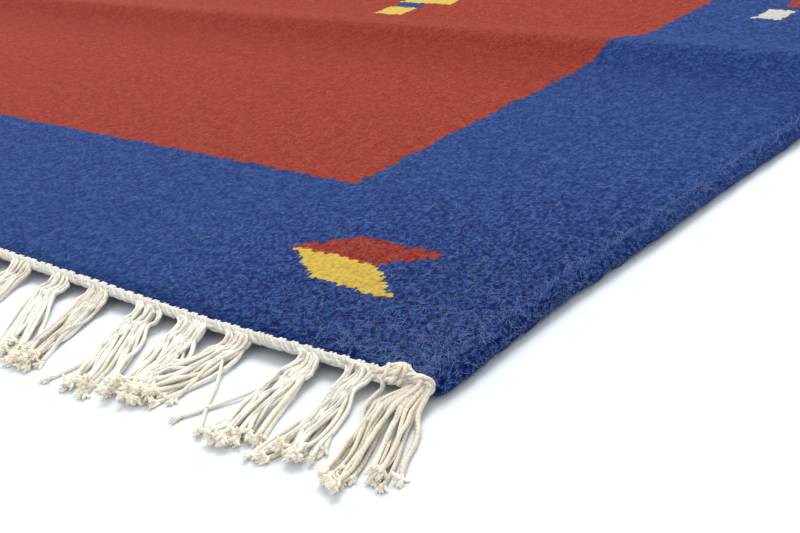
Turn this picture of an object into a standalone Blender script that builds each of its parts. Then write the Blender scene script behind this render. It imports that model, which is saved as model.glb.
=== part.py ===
"""A small flat-woven wool kilim: rolled selvedges, and knotted cotton fringes at both ends.

Metres, +Z up. Y runs along the rug (the warp) and X across it (the weft). The origin is on the
floor, under the middle of the rug. The rug lies flat, but for one soft ridge across its width,
left from folding, and a few low swells.
"""
import math
import random

import bmesh
import bpy
from mathutils import Matrix

MM = 0.001

# Driving dimensions
WIDTH = 600 * MM                # over both selvedges
WOVEN_LENGTH = 893 * MM         # the wool cloth, without its knotted ends
CLOTH_THICK = 3.8 * MM
SELVEDGE_DIAMETER = 4.8 * MM    # the roll of weft round the bundled outer warps
PIECE_GAP = 0.3 * MM            # parts the cotton strips from the wool
WARP_PITCH = 3.2 * MM
WARPS_PER_BUNCH = 5
STRANDS_PER_BUNCH = 3

# The cloth's faces
CLOTH_COLUMNS = 22              # across the width, between the rolls
ROLL_STEPS = 6                  # round each roll
STATION_STEP = 32 * MM          # along the length
RIDGE_STATION_STEP = 6.5 * MM   # along the length, on the ridge
END_ROUNDING = 1.3 * MM         # over this length the cloth thins to its last weft
END_THICK_SHARE = 0.55

# The fold line across the rug, seen as a soft ridge
RIDGE_Y = -WOVEN_LENGTH / 2 + 183 * MM
RIDGE_NEAR_LENGTH = 19 * MM     # steep just below the crest, on the side of the nearer end
RIDGE_FAR_LENGTH = 26 * MM
RIDGE_HEIGHT = 4.3 * MM

# Low swells, where the cloth doesn't quite lie down: a row for each, in mm
SWELLS = (
    # x, y, half width, half length, height
    (-165, -90, 110, 80, 1.8),
    (180, -40, 100, 95, 2.2),
    (-60, 190, 130, 90, 2.0),
    (190, 235, 90, 110, 1.6),
    (-200, 330, 85, 75, 1.5),
)

# The selvedges wander a little in and out: a row for each wave, in mm and radians
EDGE_WAVES = (
    # amplitude, wavelength, phase
    (0.5, 171, 0.4),
    (0.3, 73, 2.1),
)

# The knotted strip of cotton that holds the fringe, in mm out from the wool and above the floor
STRIP_SECTION = (
    # out, height
    (0.0, 1.3),
    (0.0, 3.6),
    (0.8, 4.2),
    (2.1, 4.1),
    (2.9, 3.5),
    (2.9, 1.3),
)
STRIP_END_INSET = 2.0 * MM      # the strip stops this far inside the selvedge's outer edge
LUMP_LENGTH = 20 * MM           # at a corner the strip swells over this length
LUMP_GROWTH = 0.35              # and by this share

# One strand of the fringe, from the strip to its tip, in mm
STRAND_SECTIONS = (
    # out, width, underside, top
    (4.6, 2.3, 0.7, 3.2),
    (7.6, 2.4, 0.0, 2.3),
    (13.5, 2.7, 0.0, 2.0),
    (20.0, 2.8, 0.0, 1.9),
    (25.0, 2.3, 0.0, 1.5),
)
STRAND_ROOT_WIDTH = 2.2 * MM
STRAND_ROOT_PITCH = 3.1 * MM    # between the roots of one bunch
BUNCH_LEAN = math.radians(23)   # every bunch leans to the right, seen from outside its end
BUNCH_FAN = math.radians(5)     # between neighbouring strands of a bunch
LEAN_SCATTER = math.radians(1.5)
LENGTH_SCATTER = 0.07
SCATTER_SEED = 11

WOOL_BLUE = (0.031, 0.074, 0.262, 1.0)
COTTON_CREAM = (0.781, 0.745, 0.651, 1.0)


def clear_scene():
    for scene_object in list(bpy.data.objects):
        bpy.data.objects.remove(scene_object, do_unlink=True)


def add_object(name, bm, collection, colour, roughness):
    """Put a finished bmesh in the collection, as one object with its own material."""
    bmesh.ops.recalc_face_normals(bm, faces=bm.faces)
    mesh = bpy.data.meshes.new(name)
    bm.to_mesh(mesh)
    bm.free()
    mesh.shade_smooth()
    mesh.set_sharp_from_angle(angle=math.radians(40))
    material = bpy.data.materials.new(name)
    material.use_nodes = True
    shader = material.node_tree.nodes["Principled BSDF"]
    shader.inputs["Base Color"].default_value = colour
    shader.inputs["Roughness"].default_value = roughness
    shader.inputs["Metallic"].default_value = 0.0
    mesh.materials.append(material)
    part = bpy.data.objects.new(name, mesh)
    collection.objects.link(part)
    return part


def extrude_outline(bm, outline, steps):
    """A closed bar: a flat outline extruded step by step, with a cap at each end."""
    face = bm.faces.new([bm.verts.new(place) for place in outline])
    for number, step in enumerate(steps):
        grown = bmesh.ops.extrude_face_region(bm, geom=[face])["geom"]
        if number > 0:
            bm.faces.remove(face)
        face = next(item for item in grown if isinstance(item, bmesh.types.BMFace))
        bmesh.ops.translate(bm, verts=face.verts, vec=step)
    bmesh.ops.recalc_face_normals(bm, faces=bm.faces)


def soft_bump(distance, reach):
    """One at the middle, falling smoothly to nought at the reach."""
    share = abs(distance) / reach
    return 0.5 + 0.5 * math.cos(math.pi * share) if share < 1 else 0.0


def lift(x, y):
    """Height of the cloth's underside above the floor."""
    near_side = max(1 - abs(RIDGE_Y - y) / RIDGE_NEAR_LENGTH, 0) ** 2
    height = RIDGE_HEIGHT * (near_side if y < RIDGE_Y else soft_bump(y - RIDGE_Y, RIDGE_FAR_LENGTH))
    for swell_x, swell_y, half_width, half_length, swell_height in SWELLS:
        across = soft_bump(x - swell_x * MM, half_width * MM)
        along = soft_bump(y - swell_y * MM, half_length * MM)
        height += swell_height * MM * across * along
    return height


def edge_wander(y):
    """How far a selvedge strays outwards."""
    return sum(
        amplitude * MM * math.sin(math.tau * y / (wavelength * MM) + phase)
        for amplitude, wavelength, phase in EDGE_WAVES
    )


def cloth_section():
    """The closed outline across the rug: underside, right roll, top and left roll."""
    radius = SELVEDGE_DIAMETER / 2
    roll_x = WIDTH / 2 - radius
    # The roll meets the cloth's top where its circle comes down to the cloth's thickness
    meeting_angle = math.asin((CLOTH_THICK - radius) / radius)
    start_angle = -math.pi / 2
    end_angle = math.pi - meeting_angle
    columns = [roll_x * (2 * i / CLOTH_COLUMNS - 1) for i in range(CLOTH_COLUMNS + 1)]
    right_roll = []
    for step in range(1, ROLL_STEPS + 1):
        angle = start_angle + (end_angle - start_angle) * step / ROLL_STEPS
        right_roll.append((roll_x + radius * math.cos(angle), radius + radius * math.sin(angle)))
    left_roll = [(-x, z) for x, z in reversed(right_roll)]
    underside = [(x, 0.0) for x in columns]
    top = [(x, CLOTH_THICK) for x in reversed(columns[1:-1])]
    return underside + right_roll + top + left_roll


def cloth_stations():
    """Places along the rug where its section is set, closer together on the ridge."""
    half = WOVEN_LENGTH / 2
    ridge_start = RIDGE_Y - RIDGE_NEAR_LENGTH
    ridge_end = RIDGE_Y + RIDGE_FAR_LENGTH
    runs = (
        (-half + END_ROUNDING, ridge_start, STATION_STEP),
        (ridge_start, RIDGE_Y, RIDGE_STATION_STEP),
        (RIDGE_Y, ridge_end, RIDGE_STATION_STEP),
        (ridge_end, half - END_ROUNDING, STATION_STEP),
    )
    stations = [-half]
    for start, end, step in runs:
        count = round((end - start) / step)
        stations += [start + (end - start) * i / count for i in range(count)]
    return stations + [half - END_ROUNDING, half]


def build_cloth(collection):
    """The woven sheet: its section is extruded from station to station, then laid down."""
    bm = bmesh.new()
    stations = cloth_stations()
    outline = [(x, stations[0], z) for x, z in cloth_section()]
    extrude_outline(bm, outline, [(0, end - start, 0) for start, end in zip(stations, stations[1:])])

    middle_height = CLOTH_THICK / 2
    for vert in bm.verts:
        x, y, z = vert.co
        if abs(y) > WOVEN_LENGTH / 2 - END_ROUNDING / 2:
            vert.co.z = middle_height + (z - middle_height) * END_THICK_SHARE
        vert.co.z += lift(x, y)
        vert.co.x += edge_wander(y) * (x / (WIDTH / 2)) ** 3
    return add_object("kilim_cloth", bm, collection, WOOL_BLUE, 0.95)


def bunch_centres():
    """Where the bunches of warp ends leave a strip, along the strip."""
    pitch = WARP_PITCH * WARPS_PER_BUNCH
    first_and_last = WIDTH / 2 - STRIP_END_INSET - STRAND_ROOT_PITCH * STRANDS_PER_BUNCH / 2
    count = round(2 * first_and_last / pitch)
    return [first_and_last * (2 * i / count - 1) for i in range(count + 1)]


def strand_roots():
    """The place along the strip and the fan step of each strand."""
    middle = (STRANDS_PER_BUNCH - 1) / 2
    return [
        (centre + (i - middle) * STRAND_ROOT_PITCH, i - middle)
        for centre in bunch_centres()
        for i in range(STRANDS_PER_BUNCH)
    ]


def lump(x):
    """Growth of the strip's section near the corners."""
    return 1 + LUMP_GROWTH * soft_bump(WIDTH / 2 - abs(x), LUMP_LENGTH)


def grow_strand(bm, root_face, root_x, lean, length_share):
    """Extrude one strand from its cell of the strip: out, down to the floor and along it."""
    root_y = root_face.calc_center_median().y
    face = root_face
    for out, width, underside, top in STRAND_SECTIONS:
        reach = out * MM * length_share
        middle_x = root_x + reach * math.tan(lean)
        face = bmesh.ops.extrude_discrete_faces(bm, faces=[face])["faces"][0]
        middle = face.calc_center_median()
        for vert in face.verts:
            side = 0.5 if vert.co.x > middle.x else -0.5
            height = top if vert.co.z > middle.z else underside
            vert.co = (middle_x + side * width * MM, root_y - reach, height * MM)


def build_fringe(name, collection, turn):
    """A knotted strip with its strands, made for the -Y end and turned to its own end."""
    scatter = random.Random(SCATTER_SEED)
    strip_end = WIDTH / 2 - STRIP_END_INSET
    roots = strand_roots()
    cuts = [-strip_end]
    for root_x, _ in roots:
        cuts += [root_x - STRAND_ROOT_WIDTH / 2, root_x + STRAND_ROOT_WIDTH / 2]
    cuts.append(strip_end)

    bm = bmesh.new()
    inner_y = -WOVEN_LENGTH / 2 - PIECE_GAP
    outline = [(cuts[0], inner_y - out * MM, height * MM) for out, height in STRIP_SECTION]
    extrude_outline(bm, outline, [(end - start, 0, 0) for start, end in zip(cuts, cuts[1:])])

    underside = STRIP_SECTION[0][1] * MM
    for vert in bm.verts:
        growth = lump(vert.co.x)
        vert.co.y = inner_y + (vert.co.y - inner_y) * growth
        vert.co.z = underside + (vert.co.z - underside) * growth

    outer_faces = [item for item in bm.faces if item.normal.y < -0.9]
    outer_faces.sort(key=lambda item: item.calc_center_median().x)
    # Every second cell of the outer face carries a strand
    for root_face, (root_x, fan_step) in zip(outer_faces[1::2], roots):
        lean = BUNCH_LEAN + BUNCH_FAN * fan_step + scatter.uniform(-1, 1) * LEAN_SCATTER
        length_share = 1 + scatter.uniform(-1, 1) * LENGTH_SCATTER
        grow_strand(bm, root_face, root_x, lean, length_share)

    bmesh.ops.rotate(bm, verts=bm.verts, cent=(0, 0, 0), matrix=Matrix.Rotation(turn, 3, "Z"))
    return add_object(name, bm, collection, COTTON_CREAM, 0.9)


def build_kilim():
    collection = bpy.data.collections.new("kilim_rug")
    bpy.context.scene.collection.children.link(collection)
    build_cloth(collection)
    build_fringe("fringe_front", collection, turn=0.0)
    build_fringe("fringe_back", collection, turn=math.pi)


clear_scene()
build_kilim()
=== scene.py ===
import math

import bmesh
import bpy
import numpy as np
from mathutils import Euler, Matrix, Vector, noise


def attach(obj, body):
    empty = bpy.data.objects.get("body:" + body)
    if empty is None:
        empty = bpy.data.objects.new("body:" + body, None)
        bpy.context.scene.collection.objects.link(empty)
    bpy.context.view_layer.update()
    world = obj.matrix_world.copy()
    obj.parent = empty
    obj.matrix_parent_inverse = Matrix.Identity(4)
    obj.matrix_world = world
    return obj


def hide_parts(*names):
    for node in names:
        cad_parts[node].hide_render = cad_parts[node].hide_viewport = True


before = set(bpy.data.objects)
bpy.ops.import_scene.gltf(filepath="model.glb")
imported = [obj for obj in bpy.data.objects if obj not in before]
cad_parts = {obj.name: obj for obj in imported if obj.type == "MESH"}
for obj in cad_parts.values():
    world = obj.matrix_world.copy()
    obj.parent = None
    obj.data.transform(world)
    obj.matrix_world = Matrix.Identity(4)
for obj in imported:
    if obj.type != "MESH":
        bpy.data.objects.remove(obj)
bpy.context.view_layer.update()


# -------------------- the woven cloth
# The rug itself: thick single-ply wool weft beaten down over a cotton warp until it hides it. It
# lies on the floor in one soft fold ridge and a few low swells, and its ends thin to the last weft.

MM = 0.001
WIDTH = 600 * MM
WOVEN_LENGTH = 893 * MM
CLOTH_THICK = 3.8 * MM
SELVEDGE_DIAMETER = 4.8 * MM
WARP_PITCH = 3.2 * MM           # between pairs of warp ends
FLOAT_WIDTH = WARP_PITCH / 2    # each float of weft goes over one warp end
FLOAT_LENGTH = 1.5 * MM         # along the warp, between floats over one warp end
RIDGE_Y = -WOVEN_LENGTH / 2 + 183 * MM
RIDGE_FAR_LENGTH = 26 * MM
RIDGE_NEAR_LENGTH = 19 * MM     # steep just below the crest
RIDGE_HEIGHT = 4.3 * MM
SWELLS = (
    # x, y, half width, half length, height, in mm
    (-165, -90, 110, 80, 1.8),
    (180, -40, 100, 95, 2.2),
    (-60, 190, 130, 90, 2.0),
    (190, 235, 90, 110, 1.6),
    (-200, 330, 85, 75, 1.5),
)
EDGE_WAVES = (
    # amplitude, wavelength, phase, in mm and radians
    (0.5, 171, 0.4),
    (0.3, 73, 2.1),
)
CLOTH_COLUMN_STEP = 5.4 * MM
CLOTH_ROW_STEP = 5.55 * MM      # so that a row of the mesh lies on the ridge's crest
SHEET_THICK = 3.5 * MM          # a little under the whole, because the relief comes on top
LUMP_HEIGHT = 0.16 * MM         # uneven beating and felting
LUMP_SIZE = 7 * MM
SELVEDGE_GROOVE = 0.9 * MM      # how far the face dips to where the selvedge's roll starts
GROOVE_WIDTH = 3 * MM           # inwards from the middle of the roll
OUTER_COLUMNS = (0, 2.0 * MM, 4.4 * MM)     # of the mesh, inwards from there: two dip, the third doesn't
END_ROUNDING = 1.3 * MM
END_THINNING = (0.9, 0.4)       # what is left at the ends of the height over and under the middle
END_BOW = 2.7 * MM              # the ends swell outwards from the corners
END_BOW_LENGTH = 68 * MM
WANDER_FADE = 3                 # powers by which wander and bow fade towards the rug's middle
BOW_FADE = 7


def soft_bump(distance, reach):
    """One at the middle, falling smoothly to nought at the reach."""
    share = np.minimum(np.abs(distance) / reach, 1)
    return 0.5 + 0.5 * np.cos(np.pi * share)


def lift(x, y):
    """Height of the cloth's underside above the floor."""
    near_side = np.clip(1 - (RIDGE_Y - y) / RIDGE_NEAR_LENGTH, 0, 1) ** 2
    height = RIDGE_HEIGHT * np.where(y < RIDGE_Y, near_side, soft_bump(y - RIDGE_Y, RIDGE_FAR_LENGTH))
    for swell_x, swell_y, half_width, half_length, swell_height in SWELLS:
        across = soft_bump(x - swell_x * MM, half_width * MM)
        height = height + swell_height * MM * across * soft_bump(y - swell_y * MM, half_length * MM)
    return height


def edge_wander(y):
    """How far a selvedge strays outwards."""
    return sum(
        amplitude * MM * np.sin(math.tau * y / (wavelength * MM) + phase)
        for amplitude, wavelength, phase in EDGE_WAVES
    )


def end_bow(x):
    """How far an end of the cloth lies outside its corners."""
    return END_BOW * (1 - soft_bump(WIDTH / 2 - np.abs(x), END_BOW_LENGTH))


def add_piece(name, mesh, material):
    """Put a finished mesh in the scene as one piece of the rug."""
    mesh.name = name
    mesh.shade_smooth()
    mesh.materials.clear()
    mesh.materials.append(material)
    piece = bpy.data.objects.new(name, mesh)
    bpy.context.scene.collection.objects.link(piece)
    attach(piece, "root")
    return piece


def mesh_from(bm):
    mesh = bpy.data.meshes.new("made")
    bm.to_mesh(mesh)
    bm.free()
    return mesh


# Material: carded wool, spun thick, dyed and woven. Matt and hairy: every float of weft is a small
# soft cushion with dark pits between, under a felt of paler bent fibres. Light that is thrown about
# in a pit takes the dye's colour again and again, so a pit is a higher power of the dye.

WOOL_BLUE = "#284379"
WOOL_RED = "#8A3629"
WOOL_YELLOW = "#C0A74C"
WOOL_WHITE = "#B5B3A8"
WOOL_FINISH = {"Roughness": 0.95, "Specular IOR Level": 0.06, "Sheen Weight": 0.02}
FIELD_HALF_WIDTH = 216.7        # mm, to the side borders
FIELD_HALF_LENGTH = 380.5       # mm, to the end borders
# The woven figures are slanting bars. They are mirrored about both middle lines of the rug, so
# their places are distances from those lines, in mm
BARS = (
    # colour, inner end of low side, low side, width, height, slant
    ("red", 242.8, 404.5, 24.8, 10.2, -1.18),
    ("yellow", 230.9, 414.8, 24.6, 10.8, 1.52),
    ("red", 243.5, 190.0, 12.5, 11.0, 0.1),
    ("white", 241.5, 205.0, 9.5, 11.5, -0.05),
    ("yellow", 238.0, -1.0, 18.0, 10.5, 1.2),
    ("red", 0.0, 404.0, 10.0, 9.5, 0.9),
    ("white", 0.0, 413.5, 19.0, 9.5, -1.0),
    ("yellow", 88.5, 226.5, 15.0, 10.5, 0.1),
    ("blue", 89.0, 219.5, 13.0, 6.5, 0.3),
    ("yellow", 87.0, 210.0, 26.0, 9.5, 0.2),
    ("blue", 150.0, 66.0, 12.0, 9.5, 1.2),
    ("yellow", 161.0, 75.5, 14.0, 9.5, -1.2),
    ("white", 0.0, -1.0, 16.0, 12.0, -1.3),
)
STRAY = (2.6, 2.2, 0.0)         # mm, how far hand-beaten yarn strays across and along
STRAY_LENGTH = 6.25             # mm, over which it does
FLOAT_UNEVENNESS = 0.75         # from an even grid at 0 to pure chance at 1
FLOAT_FALL = (0.12, 0.68)       # from a float's middle, in floats: its cushion starts and ends to fall
# Layers of short fibres over the yarn, by spacing and thickness in mm. Real ones are 0.03 mm thick,
# too fine to show, so these are drawn five times as thick
SURFACE_FIBRES = ((0.9, 0.15), (1.3, 0.16), (1.9, 0.17), (2.7, 0.18))
FIBRE_BEND = 1.3                # at most, of the parabola in which a fibre lies
FIBRE_FADE = (0.35, 0.6)        # from a fibre's middle, in spacings: it starts and ends to fade
FAINTEST_FIBRE = 0.35
RUBBED_REACH = (20 * MM, 110 * MM)          # from the rug's corners: rubbed up fully, and no more
# Where the painted shade below the ridge's crest starts and is full, and where it starts to fade and is gone
FOLD_FOOT = (RIDGE_Y - 48 * MM, RIDGE_Y - 14 * MM)
FOLD_CREST = (RIDGE_Y - 3 * MM, RIDGE_Y + 1 * MM)
CLUMP_SIZE = 1.0                # mm, of the matted wool
CLUMP_SHARE = 0.8               # of the relief, the rest being the floats
FIBRE_SHARE = 0.15              # on top of it
PITS = (0.3, 0.64)              # the relief at a pit's bottom and at its rim
PATCHES_PER_MM = 0.3            # in which the dye took more or less
PATCH_SPREAD = (0.32, 0.68)     # of the noise, from most dye to least
WOOL_RELIEF = 0.6 * MM
DARK_TO_PALE = (0.03, 0.25)     # red in the darkest and the palest dyes
PALE_SHARE = 0.6                # of the pits and fibres of the darkest that the palest show
# Parts of the power to which the dye is raised, and what rubbed wool adds to each
PLAIN_POWER, PLAIN_POWER_RUBBED = 0.99, 0.08
PIT_POWER, PIT_POWER_RUBBED = 0.36, 0.42
FIBRE_POWER, FIBRE_POWER_RUBBED = -0.16, -0.12
# painted shade on the ridge's near side, which faces away from the light, added to the power of the dye
# there
FOLD_SHADE_POWER = 0.075
PATCH_POWERS = (0.10, -0.08)    # in a patch with most dye, and in one with least


def linear(hex_colour):
    """An sRGB hex colour as linear RGBA."""
    channels = [int(hex_colour[i:i + 2], 16) / 255 for i in (1, 3, 5)]
    return [c / 12.92 if c <= 0.04045 else ((c + 0.055) / 1.055) ** 2.4 for c in channels] + [1.0]


def add_node(tree, kind, inputs=(), **settings):
    """A shader node with its settings and inputs. The inputs are listed in the order of its sockets,
    or given by their numbers or names. A node as an input stands for its first output."""
    made = tree.nodes.new("ShaderNode" + kind)
    for setting, value in settings.items():
        setattr(made, setting, value)
    for socket, value in inputs.items() if isinstance(inputs, dict) else enumerate(inputs):
        if isinstance(value, bpy.types.Node):
            value = value.outputs[0]
        if isinstance(value, bpy.types.NodeSocket):
            tree.links.new(value, made.inputs[socket])
        else:
            made.inputs[socket].default_value = value
    return made


def new_material(name, finish):
    """A material, its node tree and its shader, with the finish set on the shader's own sockets."""
    material = bpy.data.materials.new(name)
    material.use_nodes = True
    shader = material.node_tree.nodes["Principled BSDF"]
    for socket, value in finish.items():
        shader.inputs[socket].default_value = value
    return material, material.node_tree, shader


def wobbled_place(tree):
    """Where a point lies on the rug, in mm, strayed as hand-beaten yarn strays."""
    spot = add_node(tree, "TexCoord").outputs["Object"]
    in_mm = add_node(tree, "VectorMath", {0: spot, "Scale": 1 / MM}, operation="SCALE")
    slow = add_node(tree, "TexNoise", {"Vector": in_mm, "Scale": 1 / STRAY_LENGTH, "Detail": 3.0})
    stray = add_node(tree, "VectorMath", [slow.outputs["Color"], (0.5, 0.5, 0.5)], operation="SUBTRACT")
    return add_node(tree, "VectorMath", [stray, STRAY, in_mm], operation="MULTIPLY_ADD")


def woven_colour(tree, place):
    """The dyed yarn at a place in the pattern."""
    folded = add_node(tree, "VectorMath", [place], operation="ABSOLUTE")
    sides = add_node(tree, "SeparateXYZ", [folded])
    in_width, in_length = (
        add_node(tree, "Math", [sides.outputs[axis], half], operation="LESS_THAN")
        for axis, half in enumerate((FIELD_HALF_WIDTH, FIELD_HALF_LENGTH)))
    field = add_node(tree, "Math", [in_width, in_length], operation="MULTIPLY")
    yarn = add_node(tree, "Mix", {0: field, 6: linear(WOOL_BLUE), 7: linear(WOOL_RED)}, data_type="RGBA")
    dyes = {"red": WOOL_RED, "yellow": WOOL_YELLOW, "white": WOOL_WHITE, "blue": WOOL_BLUE}
    for colour, inner_end, low_side, width, height, slant in BARS:
        # The bar's own middle line moves with the slant, so two comparisons bound it
        leaned = add_node(tree, "Math", [sides.outputs[1], -slant, sides.outputs[0]],
                          operation="MULTIPLY_ADD")
        middle = inner_end + width / 2 - slant * low_side
        across = add_node(tree, "Math", [leaned, middle, width / 2], operation="COMPARE")
        along = add_node(tree, "Math", [sides.outputs[1], low_side + height / 2, height / 2],
                         operation="COMPARE")
        inside = add_node(tree, "Math", [across, along], operation="MULTIPLY")
        yarn = add_node(tree, "Mix", {0: inside, 6: yarn.outputs[2], 7: linear(dyes[colour])},
                        data_type="RGBA")
    return yarn.outputs[2]


def ramp(tree, value, low, high, at_low, at_high):
    """A value eased from one range into another."""
    return add_node(tree, "MapRange",
                    {"Value": value, "From Min": low, "From Max": high, "To Min": at_low, "To Max": at_high},
                    interpolation_type="SMOOTHSTEP").outputs["Result"]


def weft_floats(tree, place):
    """Loose cushions of weft in a column over each warp end, every other column offset.

    Returns their height and the middle of each, so that a figure's edge can follow them in steps.
    """
    sides = add_node(tree, "SeparateXYZ", [place])
    across = add_node(tree, "Math", [sides.outputs[0], FLOAT_WIDTH / MM], operation="DIVIDE")
    column = add_node(tree, "Math", [across], operation="FLOOR")
    offset = add_node(tree, "Math", [column, 0.5], operation="MULTIPLY")
    along = add_node(tree, "Math", [sides.outputs[1], FLOAT_LENGTH / MM], operation="DIVIDE")
    staggered = add_node(tree, "Math", [offset, along])
    cell_place = add_node(tree, "CombineXYZ", [across, staggered])
    cells = add_node(tree, "TexVoronoi",
                     {"Vector": cell_place, "Scale": 1.0, "Randomness": FLOAT_UNEVENNESS},
                     voronoi_dimensions="2D")
    unstagger = add_node(tree, "CombineXYZ", {1: offset})
    in_columns = add_node(tree, "VectorMath", [cells.outputs["Position"], unstagger], operation="SUBTRACT")
    middle = add_node(tree, "VectorMath", [in_columns, (FLOAT_WIDTH / MM, FLOAT_LENGTH / MM, 0.0)],
                      operation="MULTIPLY")
    return ramp(tree, cells.outputs["Distance"], *FLOAT_FALL, 1.0, 0.0), middle.outputs[0]


def stray_fibres(tree, place, spacing, thickness):
    """Short bent fibres lying every way over the yarn, one in each cell of a scatter; sizes in mm."""
    spread = add_node(tree, "VectorMath", {0: place, "Scale": 1 / spacing}, operation="SCALE")
    scatter = add_node(tree, "TexVoronoi", {"Vector": spread, "Scale": 1.0}, voronoi_dimensions="2D")
    chance = add_node(tree, "SeparateXYZ", [scatter.outputs["Color"]])
    turn = add_node(tree, "Math", [chance.outputs[0], math.tau], operation="MULTIPLY")
    from_middle = add_node(tree, "VectorMath", [spread, scatter.outputs["Position"]], operation="SUBTRACT")
    turned = add_node(tree, "VectorRotate", {"Vector": from_middle, "Angle": turn}, rotation_type="Z_AXIS")
    parts = add_node(tree, "SeparateXYZ", [turned])
    bend = add_node(tree, "Math", [chance.outputs[1], 2 * FIBRE_BEND, -FIBRE_BEND], operation="MULTIPLY_ADD")
    square = add_node(tree, "Math", [parts.outputs[0], parts.outputs[0]], operation="MULTIPLY")
    off_line = add_node(tree, "Math", [square, bend, parts.outputs[1]], operation="MULTIPLY_ADD")
    aside = add_node(tree, "Math", [off_line], operation="ABSOLUTE")
    reach = add_node(tree, "Math", [parts.outputs[0]], operation="ABSOLUTE")
    line = add_node(tree, "Math",
                    [ramp(tree, aside, 0.0, thickness / spacing, 1.0, 0.0),
                     ramp(tree, reach, *FIBRE_FADE, 1.0, 0.0)], operation="MULTIPLY")
    level = ramp(tree, chance.outputs[2], 0.0, 1.0, FAINTEST_FIBRE, 1.0)
    return add_node(tree, "Math", [line, level], operation="MULTIPLY")


def rubbed(tree):
    """How much the wool is rubbed up by feet, most of all at the rug's corners."""
    spot = add_node(tree, "TexCoord").outputs["Object"]
    folded = add_node(tree, "VectorMath", [spot], operation="ABSOLUTE")
    from_corner = add_node(tree, "VectorMath", [folded, (WIDTH / 2, WOVEN_LENGTH / 2, 0.0)],
                           operation="SUBTRACT")
    distance = add_node(tree, "VectorMath", [from_corner], operation="LENGTH")
    return ramp(tree, distance.outputs["Value"], *RUBBED_REACH, 1.0, 0.0)


def painted_fold_shade(tree):
    """Painted shade on the near side of the ridge, which faces away from the light: how strongly the wool is
    darkened there.
    """
    spot = add_node(tree, "TexCoord").outputs["Object"]
    along = add_node(tree, "SeparateXYZ", [spot]).outputs[1]
    foot = ramp(tree, along, *FOLD_FOOT, 0.0, 1.0)
    crest = ramp(tree, along, *FOLD_CREST, 1.0, 0.0)
    return add_node(tree, "Math", [foot, crest], operation="MULTIPLY")


def wool_surface(tree, shader, place, floats, dye):
    """Floats, pits and stray fibres, as colour and as bump, for all of the woven wool."""
    wear = rubbed(tree)
    # The darker the dye, the more its pits and fibres show
    red = add_node(tree, "SeparateColor", [dye]).outputs["Red"]
    darkness = ramp(tree, red, *DARK_TO_PALE, 1.0, PALE_SHARE)
    clumps = add_node(tree, "TexNoise",
                      {"Vector": place, "Scale": 1 / CLUMP_SIZE, "Detail": 5.0, "Roughness": 0.68})
    relief = add_node(tree, "Mix", {0: CLUMP_SHARE, 2: floats, 3: clumps.outputs["Fac"]})
    fibres = stray_fibres(tree, place, *SURFACE_FIBRES[0])
    for spacing, thickness in SURFACE_FIBRES[1:]:
        layer = stray_fibres(tree, place, spacing, thickness)
        fibres = add_node(tree, "Math", [fibres, layer], operation="MAXIMUM")
    patches = add_node(tree, "TexNoise", {"Vector": place, "Scale": PATCHES_PER_MM, "Detail": 3.0})
    pit_depth = add_node(tree, "Math", [wear, PIT_POWER_RUBBED, PIT_POWER], operation="MULTIPLY_ADD")
    pits = add_node(tree, "Math",
                    [ramp(tree, relief, *PITS, 1.0, 0.0), pit_depth,
                     ramp(tree, patches.outputs["Fac"], *PATCH_SPREAD, *PATCH_POWERS)],
                    operation="MULTIPLY_ADD")
    paleness = add_node(tree, "Math", [wear, FIBRE_POWER_RUBBED, FIBRE_POWER], operation="MULTIPLY_ADD")
    uneven = add_node(tree, "Math", [fibres, paleness, pits], operation="MULTIPLY_ADD")
    # painted shade: below the ridge's crest the dye is raised to a higher power, which darkens it
    plain_and_fold_shade = add_node(tree, "Math", [painted_fold_shade(tree), FOLD_SHADE_POWER, PLAIN_POWER],
                      operation="MULTIPLY_ADD")
    base = add_node(tree, "Math", [wear, PLAIN_POWER_RUBBED, plain_and_fold_shade], operation="MULTIPLY_ADD")
    power = add_node(tree, "Math", [uneven, darkness, base], operation="MULTIPLY_ADD")
    colour = add_node(tree, "Gamma", {"Color": dye, "Gamma": power})
    height = add_node(tree, "Math", [fibres, FIBRE_SHARE, relief], operation="MULTIPLY_ADD")
    bump = add_node(tree, "Bump", {"Strength": 0.7, "Distance": WOOL_RELIEF, "Height": height})
    tree.links.new(colour.outputs[0], shader.inputs["Base Color"])
    tree.links.new(bump.outputs[0], shader.inputs["Normal"])


wool_weave, wool_tree, wool_shader = new_material("Woven wool, weft faced", WOOL_FINISH)
wool_place = wobbled_place(wool_tree)
wool_floats, float_middle = weft_floats(wool_tree, wool_place)
wool_surface(wool_tree, wool_shader, wool_place, wool_floats, woven_colour(wool_tree, float_middle))

sheet_half_width = WIDTH / 2 - SELVEDGE_DIAMETER / 2
columns = round(2 * sheet_half_width / CLOTH_COLUMN_STEP)
rows = round(WOVEN_LENGTH / CLOTH_ROW_STEP)
bm = bmesh.new()
bmesh.ops.create_grid(bm, x_segments=columns, y_segments=rows, size=0.5)
bmesh.ops.scale(bm, vec=(2 * sheet_half_width, WOVEN_LENGTH, 1), verts=bm.verts)
for vert in bm.verts:
    x, y, _ = vert.co
    column = round((sheet_half_width - abs(x)) / CLOTH_COLUMN_STEP)
    if column < len(OUTER_COLUMNS):
        x = vert.co.x = math.copysign(sheet_half_width - OUTER_COLUMNS[column], x)
    lump = noise.noise(Vector((x, y, 0)) / LUMP_SIZE) * LUMP_HEIGHT
    vert.co.x += float(edge_wander(y)) * (x / (WIDTH / 2)) ** WANDER_FADE
    vert.co.y += float(end_bow(x)) * (y / (WOVEN_LENGTH / 2)) ** BOW_FADE
    vert.co.z = CLOTH_THICK + float(lift(x, y)) + lump
bmesh.ops.recalc_face_normals(bm, faces=bm.faces)
bmesh.ops.solidify(bm, geom=bm.faces[:], thickness=SHEET_THICK)
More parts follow.
